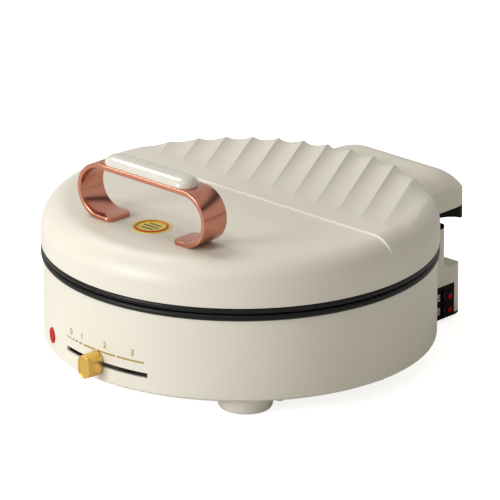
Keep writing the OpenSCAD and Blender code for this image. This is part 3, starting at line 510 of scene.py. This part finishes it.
def flute_dip(co):
    """How deep a flute is pressed at a point: sharp crests, and smooth hollows that deepen rearwards."""
    behind, across = flute_place(co)
    if behind <= 0 or across < -1 or across > FLUTES + 1:
        return 0
    depth = FLUTE_GROWTH * behind + FLUTE_TIP_DEPTH * (1 - math.exp(-behind / FLUTE_TIP_RUN))
    if 0 <= across <= FLUTES:
        wave = math.sin(math.pi * (across - math.floor(across)) ** FLUTE_SKEW)
        return depth * (math.sqrt(wave * wave + CREST_SOFTNESS * CREST_SOFTNESS) - CREST_SOFTNESS)
    outside = -across if across < 0 else across - FLUTES
    if outside < 0.5:
        return depth * math.sin(math.pi * outside)
    return depth * (1 - ((outside - 0.5) * 2) ** 2)


def press_flutes(skin):
    """Lowers the front half by the step and presses the flutes in along the skin's own direction."""
    for corner in skin.data.vertices:
        co = corner.co
        if co.y < STEP_Y - 0.001 * MM:
            riser = min(1, (STEP_Y - co.y) / STEP_RUN)
            co.z -= STEP_H * riser * min(1, (co.z - LID_Z) / (WALL_TOP - LID_Z))
            continue
        if co.z < WALL_TOP:
            continue
        out = Vector((co.x - AXIS.x, co.y - AXIS.y, 0))
        along = max(0, out.length - FLAT_R) / SHOULDER_R
        up = (co.z - WALL_TOP) / SHOULDER_R
        dip = flute_dip(co) * max(0, up) ** 1.5
        if dip > 0:
            facing = Vector((0, 0, 1)) if along == 0 else out.normalized() * along + Vector((0, 0, up))
            corner.co = co - facing * dip


def cut_step_and_tips(skin):
    """Runs edges along both sides of the step's riser, and along the flutes' tips."""
    for y in (STEP_Y, STEP_Y - STEP_RUN):
        cut_line(skin, (0, y, 0), (0, 1, 0), lambda c, n: abs(c.y - STEP_Y) < CUT_REACH)
    cut_line(
        skin,
        (0, FLUTE_Y, 0),
        (0, 1, 0),
        lambda c, n: abs(c.y - FLUTE_Y) < CUT_REACH and c.z > WALL_TOP,
    )


def cut_crests(skin):
    """Runs an edge along each crest between the flutes, and one close by on either side of it."""
    front_end = STEP_Y + 4 * MM
    bottom = LID_Z + 10 * MM
    across_way = (math.cos(FLUTE_TURN), math.sin(FLUTE_TURN), 0)
    for i in range(FLUTES + 1):
        for beside in (-CREST_EDGE, 0, CREST_EDGE):
            spot = (FLUTE_X + i * FLUTE_PITCH + beside, FLUTE_Y, 0)
            near = i + beside / FLUTE_PITCH
            cut_line(
                skin,
                spot,
                across_way,
                lambda c, n: c.y > front_end and c.z > bottom and abs(flute_place(c)[1] - near) < 0.35,
            )


def cut_window(skin):
    """Opens the window in the rear wall."""
    beyond, over = 60 * MM, WALL_TOP + 2 * MM
    sides = (
        ((WINDOW_HALF, 0, 0), (1, 0, 0)),
        ((-WINDOW_HALF, 0, 0), (1, 0, 0)),
        ((0, 0, WINDOW_LOW), (0, 0, 1)),
        ((0, 0, WINDOW_HIGH), (0, 0, 1)),
    )
    for point, way in sides:
        cut_line(skin, point, way, lambda c, n: c.y > REAR_Y and abs(c.x) < beyond and c.z < over)
    pick(
        skin,
        "FACE",
        lambda c, n: c.y > REAR_Y and abs(c.x) < WINDOW_HALF and WINDOW_LOW < c.z < WINDOW_HIGH,
    )
    bpy.ops.mesh.delete(type="FACE")


def make_lid():
    """The moulded lid: stepped roof, eleven crests, and a window at the rear for the hinge bracket."""
    skin = lid_rings()
    deselect()
    cut_step_and_tips(skin)
    cut_crests(skin)
    deselect()
    press_flutes(skin)
    cut_window(skin)
    bpy.ops.mesh.select_all(action="SELECT")
    bpy.ops.mesh.remove_doubles(threshold=0.01 * MM)
    bpy.ops.mesh.normals_make_consistent(inside=False)
    deselect()
    modifier(skin, "SOLIDIFY", thickness=WALL, offset=-1)
    return settle(skin, "lid_moulding", smooth=32)


def make_arm_cover(like):
    """The arm's moulded cover, its lip carried on under the lid's shoulder so that no flute opens a gap."""
    cover = bpy.data.objects.new("arm_moulding", nodes[like].data.copy())
    bpy.context.scene.collection.objects.link(cover)
    cover.data.materials.clear()
    only(cover)
    bpy.ops.mesh.customdata_custom_splitnormals_clear()
    bpy.ops.object.mode_set(mode="EDIT")
    bpy.ops.mesh.select_all(action="SELECT")
    bpy.ops.mesh.remove_doubles(threshold=0.001 * MM)

    def on_shoulder(centre, normal):
        out = Vector((centre.x - AXIS.x, centre.y - AXIS.y, 0))
        away = out.normalized() * (out.length - FLAT_R) + Vector((0, 0, centre.z - WALL_TOP))
        near = abs(away.length - SHOULDER_R - ARM_CLEARANCE) < 0.25 * MM
        return near and away.z > 2 * MM and out.length > FLAT_R and normal.dot(away.normalized()) < -0.8

    pick(cover, "FACE", on_shoulder)
    bpy.ops.mesh.extrude_region_move(TRANSFORM_OT_translate={"value": (0, -LIP, 0)})
    return settle(cover, "arm_moulding", smooth=20)


# ---------- Handle ----------


def make_strap(like):
    """The strap of bent strip: a tongue, a loop and half of the bar, mirrored about the handle's middle."""
    low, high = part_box(like)
    middle = (low + high) / 2
    thick, tongue, corner_r = 4 * MM, 13.5 * MM, 6 * MM
    width = high.y - low.y
    loop_r = (high.z - low.z) / 2
    loop_x = high.x - loop_r
    tip_x = loop_x - tongue
    deselect()
    end = (tip_x, middle.y, low.z + thick / 2)
    bpy.ops.mesh.primitive_plane_add(size=1, location=end, rotation=(0, math.pi / 2, 0))
    strap = bpy.context.object
    strap.scale = (thick, width, 1)
    bpy.ops.object.transform_apply(location=True, rotation=True, scale=True)
    bpy.ops.object.mode_set(mode="EDIT")
    bpy.ops.mesh.select_all(action="SELECT")
    bpy.ops.mesh.extrude_region_move(TRANSFORM_OT_translate={"value": (loop_x - tip_x, 0, 0)})
    bpy.ops.mesh.spin(steps=40, angle=math.pi, center=(loop_x, middle.y, middle.z), axis=(0, 1, 0))
    bpy.ops.mesh.extrude_region_move(TRANSFORM_OT_translate={"value": (middle.x - loop_x, 0, 0)})
    bpy.ops.mesh.delete(type="FACE")
    deselect()
    pick(strap, "VERT", lambda c: True)
    bpy.ops.mesh.remove_doubles(threshold=0.01 * MM)
    bpy.ops.mesh.normals_make_consistent(inside=False)
    deselect()
    close = 0.01 * MM

    def tip_corner(a, b):
        at_tip = abs(a.x - tip_x) < close and abs(b.x - tip_x) < close
        return at_tip and abs(a.y - b.y) < close and a.z < middle.z

    pick(strap, "EDGE", tip_corner)
    bpy.ops.mesh.bevel(offset=corner_r, segments=8, affect="EDGES")
    deselect()
    modifier(strap, "MIRROR", use_axis=(True, False, False), merge_threshold=0.05 * MM)
    modifier(strap, "BEVEL", width=0.8 * MM, segments=3, limit_method="ANGLE", angle_limit=math.radians(50))
    return settle(strap, "strap", smooth=40)


def make_grip(like):
    """The glossy grip: a half ball cut through the middle and drawn out, with a full, flattened dome."""
    low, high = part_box(like)
    middle = (low + high) / 2
    size = high - low
    half = size.y / 2
    spine = size.x / 2 - half
    meridians, fullness, roundness = 64, 2.6, 2.2
    deselect()
    bpy.ops.mesh.primitive_uv_sphere_add(segments=meridians, ring_count=48, radius=half, location=(0, 0, 0))
    grip = bpy.context.object
    grip.rotation_euler = (0, 0, math.pi / meridians)
    bpy.ops.object.transform_apply(location=False, rotation=True, scale=False)
    bpy.ops.object.mode_set(mode="EDIT")
    bpy.ops.mesh.select_all(action="SELECT")
    bpy.ops.mesh.bisect(plane_co=(0, 0, 0), plane_no=(0, 0, 1), clear_inner=True, use_fill=True)
    deselect()
    for side in (-1, 1):
        pick(grip, "VERT", lambda c: c.x * side > 0.01 * MM)
        bpy.ops.transform.translate(value=(side * spine, 0, 0))
        deselect()
    for corner in grip.data.vertices:
        away = Vector((max(0, abs(corner.co.x) - spine), corner.co.y)).length / half
        corner.co.z = size.z * (1 - min(1, away) ** fullness) ** (1 / roundness)
    grip.location = (middle.x, middle.y, low.z)
    return settle(grip, "grip", smooth=60)


# ---------- Slider knob ----------


def make_knob(like):
    """The slider's knob: an oval block, a little wider at the wall, with a raised rim round its face."""
    low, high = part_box(like)
    wide, tall, deep = 15 * MM, 22 * MM, 15.7 * MM
    turn = math.radians(-2.4)
    off_wall = 0.8 * MM
    deselect()
    bpy.ops.mesh.primitive_cube_add(size=1, location=(0, 0, 0))
    knob = bpy.context.object
    knob.scale = (wide, deep, tall)
    bpy.ops.object.transform_apply(location=False, rotation=False, scale=True)
    pick(knob, "EDGE", lambda a, b: abs(a.y - b.y) > 1 * MM)
    bpy.ops.mesh.bevel(offset=wide / 2 - 0.3 * MM, segments=12, affect="EDGES")
    deselect()
    pick(knob, "FACE", lambda c, n: n.y < -0.9)
    bpy.ops.transform.resize(value=(0.93, 1, 0.95), center_override=(0, 0, 0))
    bpy.ops.mesh.inset(thickness=1.0 * MM, depth=0)
    bpy.ops.mesh.inset(thickness=0.4 * MM, depth=-0.9 * MM)
    deselect()
    rim = deep / 2
    pick(knob, "EDGE", lambda a, b: abs(a.y + rim) < 0.02 * MM and abs(b.y + rim) < 0.02 * MM)
    bpy.ops.mesh.bevel(offset=0.35 * MM, segments=3, affect="EDGES")
    deselect()
    out = BASE_R + off_wall + deep / 2
    knob.location = (AXIS.x + math.sin(turn) * out, AXIS.y - math.cos(turn) * out, (low.z + high.z) / 2)
    knob.rotation_euler = (0, 0, turn)
    return settle(knob, "knob", smooth=35)


# ---------- Prints ----------


def thin_disc(place, radius, lift, facing):
    """A printed disc, a few hundredths of a millimetre thick, with a softened edge."""
    deselect()
    bpy.ops.mesh.primitive_cylinder_add(vertices=48, radius=radius, depth=lift, location=place)
    disc = bpy.context.object
    disc.rotation_euler = Vector(facing).to_track_quat("Z", "Y").to_euler()
    pick(disc, "FACE", lambda c, n: n.z > 0.9)
    bpy.ops.mesh.bevel(offset=lift * 0.4, segments=2, affect="EDGES")
    deselect()
    return disc


def make_number(number, turn_deg, height):
    """A printed figure, laid round the base's wall at a turn from the front."""
    deselect()
    bpy.ops.object.text_add(location=(0, 0, 0))
    figure = bpy.context.object
    figure.data.body = str(number)
    figure.data.size = FIGURE_SIZE
    figure.data.align_x = "CENTER"
    figure.data.align_y = "CENTER"
    figure.data.extrude = 0.02 * MM
    figure.data.offset = 0.04 * MM
    bpy.ops.object.convert(target="MESH")
    for corner in figure.data.vertices:
        flat = corner.co.copy()
        turn = math.radians(turn_deg) + flat.x / BASE_R
        out = PRINT_R + flat.z
        corner.co = AXIS + Vector((math.sin(turn) * out, -math.cos(turn) * out, height + flat.y))
    return settle(figure, f"scale_figure_{number}", smooth=10)


def make_badge_prints(like):
    """The round sticker's print: a red ring and three plain dark bars on the yellow film."""
    low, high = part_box(like)
    middle = (low + high) / 2
    radius = (high.x - low.x) / 2
    ring = thin_disc((middle.x, middle.y, high.z + FILM_LIFT), radius * 0.88, FILM_T, (0, 0, 1))
    pick(ring, "FACE", lambda c, n: abs(n.z) > 0.9)
    bpy.ops.mesh.inset(thickness=radius * 0.12, depth=0)
    bpy.ops.mesh.bridge_edge_loops()
    deselect()
    pieces = [settle(ring, "badge_ring")]
    for i in (-1, 0, 1):
        deselect()
        place = (middle.x, middle.y + i * radius * 0.3, high.z + FILM_LIFT)
        bpy.ops.mesh.primitive_cube_add(size=1, location=place)
        bar = bpy.context.object
        bar.scale = (radius * (1.0 if i == 0 else 0.78), radius * 0.13, FILM_T)
        bpy.ops.object.transform_apply(location=False, rotation=False, scale=True)
        pick(bar, "EDGE", lambda a, b: abs(a.z - b.z) > 0.02 * MM)
        bpy.ops.mesh.bevel(offset=radius * 0.06, segments=5, affect="EDGES")
        deselect()
        pieces.append(settle(bar, f"badge_bar_{i + 2}"))
    return pieces


def make_rocker_dot(like, name):
    """A red dot on the rear half of a rocker's face, leaning with it."""
    low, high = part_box(like)
    face = math.radians(0.9)
    out = Vector((math.cos(face), math.sin(face), 0))
    x = high.x - 0.33 * MM
    place = Vector((x, (low.y + high.y) / 2 + DOT_BACK, (low.z + high.z) / 2 - DOT_DOWN))
    return settle(thin_disc(place, DOT_R, 0.1 * MM, out), name)


def make_switch_mark(like, name):
    """A plain white pad-printed mark in front of a rocker: a thin plate cut to a stem with three bars."""
    _, bezel_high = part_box("switch_bezel")
    low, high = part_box(like)
    middle = Vector((bezel_high.x + 0.01 * MM, (low.y + high.y) / 2 - MARK_AHEAD, (low.z + high.z) / 2))
    wide, tall, line = 3.6 * MM, 6.4 * MM, 0.9 * MM
    deselect()
    bpy.ops.mesh.primitive_cube_add(size=1, location=middle)
    mark = bpy.context.object
    mark.scale = (0.06 * MM, wide, tall)
    bpy.ops.object.transform_apply(location=True, rotation=False, scale=True)
    for way, spots in (
        ((0, 1, 0), (-line / 2, line / 2)),
        ((0, 0, 1), (line - tall / 2, -line / 2, line / 2, tall / 2 - line)),
    ):
        for spot in spots:
            pick(mark, "FACE", lambda c, n: True)
            bpy.ops.mesh.bisect(plane_co=middle + Vector(way) * spot, plane_no=way)
    gap_low, gap_high = line / 2, tall / 2 - line

    def between_bars(centre, normal):
        beside = abs(centre.y - middle.y) > line / 2
        return abs(normal.x) > 0.9 and beside and gap_low < abs(centre.z - middle.z) < gap_high

    pick(mark, "FACE", between_bars)
    bpy.ops.mesh.bridge_edge_loops(number_cuts=0)
    deselect()
    return settle(mark, name)


# ---------- Studio ----------


def floor_material():
    """White paper sweep: it shows white to the camera and through lenses, and keeps the pan's shadow."""
    material, tree, _ = new_material("white_paper_sweep")
    seen, _ = seen_straight(tree)
    paper = add(tree, "ShaderNodeBsdfDiffuse", {"Color": (0.9, 0.9, 0.9, 1)})
    glow = add(tree, "ShaderNodeEmission", {"Color": (1, 1, 1, 1), "Strength": 0.8})
    both = add(tree, "ShaderNodeAddShader", links={0: paper.outputs[0], 1: glow.outputs[0]})
    return finish_material(material, tree, mixed_shader(tree, seen, paper, both))


def make_floor():
    """A wide floor under the feet."""
    deselect()
    bpy.ops.mesh.primitive_plane_add(size=12, location=(0, 0, 0))
    floor = bpy.context.object
    floor.name = "floor"
    floor.data.materials.append(floor_material())


def make_world():
    """A white surround for the camera, a paler grey in reflections, and a warm grey for its light."""
    world = bpy.data.worlds.new("studio")
    bpy.context.scene.world = world
    world.use_nodes = True
    tree = world.node_tree
    tree.nodes.clear()
    seen, path = seen_straight(tree)
    white = add(tree, "ShaderNodeBackground", {"Color": (1, 1, 1, 1), "Strength": 1.0})
    gloss = add(tree, "ShaderNodeBackground", {"Color": (1, 0.99, 0.97, 1), "Strength": 0.62})
    room = add(tree, "ShaderNodeBackground", {"Color": (1, 0.96, 0.83, 1), "Strength": 0.31})
    around = mixed_shader(tree, path.outputs["Is Glossy Ray"], room, gloss)
    mixed = mixed_shader(tree, seen, around, white)
    add(tree, "ShaderNodeOutputWorld", links={"Surface": mixed.outputs[0]})


def make_camera():
    """A long lens, six metres off, above the front right of the pan."""
    away, right_mm, up_mm = 6.0, 8.39, 79.57
    target = AXIS + Vector((0, 0, 7 * MM))
    place = target + VIEW_BACK * away + VIEW_RIGHT * right_mm * MM + VIEW_UP * up_mm * MM
    bpy.ops.object.camera_add(location=place)
    camera = bpy.context.object
    camera.rotation_euler = VIEW_BACK.to_track_quat("Z", "Y").to_euler()
    camera.data.sensor_width = 36
    camera.data.lens = 490.3
    camera.data.clip_end = 100
    bpy.context.scene.camera = camera


def make_dark_card():
    """A dark card high behind the pan, thin towards its long edges, seen in reflections alone."""
    place, target = Vector((0.87, 1.71, 1.66)), Vector((0, 0, 0.12))
    deselect()
    bpy.ops.mesh.primitive_plane_add(size=1, location=place)
    card = bpy.context.object
    card.name = "dark_card"
    card.scale = (4, 1.1, 1)
    card.rotation_euler = (place - target).to_track_quat("Z", "Y").to_euler()
    material, tree, on_card = new_material("black_velvet_card")
    split = add(tree, "ShaderNodeSeparateXYZ", links={0: on_card})
    off_middle = add(tree, "ShaderNodeMath", {"operation": "ABSOLUTE"}, {0: split.outputs["Y"]})
    fade = ramp(tree, off_middle.outputs[0], from_min=0.05, from_max=0.5, to_min=0.92, to_max=0.0)
    clear = add(tree, "ShaderNodeBsdfTransparent")
    velvet = add(tree, "ShaderNodeBsdfDiffuse", {"Color": (0.02, 0.02, 0.02, 1)})
    card.data.materials.append(finish_material(material, tree, mixed_shader(tree, fade, clear, velvet)))
    card.visible_camera = False
    card.visible_diffuse = False
    card.visible_shadow = False


def make_lamp(name, right, back, up, size, power, colour):
    """A square soft lamp, placed along the view's right and back and by its height, aimed at the lid."""
    flat_back = Vector((VIEW_BACK.x, VIEW_BACK.y, 0)).normalized()
    place = AXIS + VIEW_RIGHT * right + flat_back * back + Vector((0, 0, up))
    target = AXIS + Vector((0, 0, 90 * MM))
    bpy.ops.object.light_add(type="AREA", location=place)
    lamp = bpy.context.object
    lamp.name = name
    lamp.data.shape = "SQUARE"
    lamp.data.size = size
    lamp.data.energy = power
    lamp.data.color = colour
    lamp.rotation_euler = (place - target).to_track_quat("Z", "Y").to_euler()


# ---------- The pan ----------


def main():
    """Sets up the studio, finishes and replaces the pieces, and adds the prints."""
    bpy.context.scene.view_settings.view_transform = "Standard"
    make_camera()
    make_world()
    make_floor()
    for name, settings in LAMPS.items():
        make_lamp(name, *settings)
    make_dark_card()
    deselect()

    finishes = make_materials()
    replaced = {
        "lid_shell": make_lid(),
        "arm_cover": make_arm_cover("arm_cover"),
        "handle_strap": make_strap("handle_strap"),
        "handle_grip": make_grip("handle_grip"),
        "slide_knob": make_knob("slide_knob"),
    }
    for node, piece in replaced.items():
        dress(piece, finishes[slot_of(node)], body_of(node), [node])
    for node, thing in nodes.items():
        if node in replaced:
            continue
        thing.data.materials.clear()
        finish = "black_abs" if node in AWAY_FROM_HEAT else slot_of(node)
        thing.data.materials.append(finishes[finish])

    for number, turn_deg, height in FIGURES:
        dress(make_number(number, turn_deg, height * MM), finishes["gold_print"], "base")
    for i, print_piece in enumerate(make_badge_prints("lid_badge")):
        dress(print_piece, finishes["badge_dark" if i else "badge_red"], "lid")
    for side in ("lower", "upper"):
        rocker = f"{side}_plate_rocker"
        dot = make_rocker_dot(rocker, f"{side}_dot")
        dress(dot, finishes["red_print"], body_of(rocker))
        dress(make_switch_mark(rocker, f"{side}_mark"), finishes["white_print"], "base")


main()
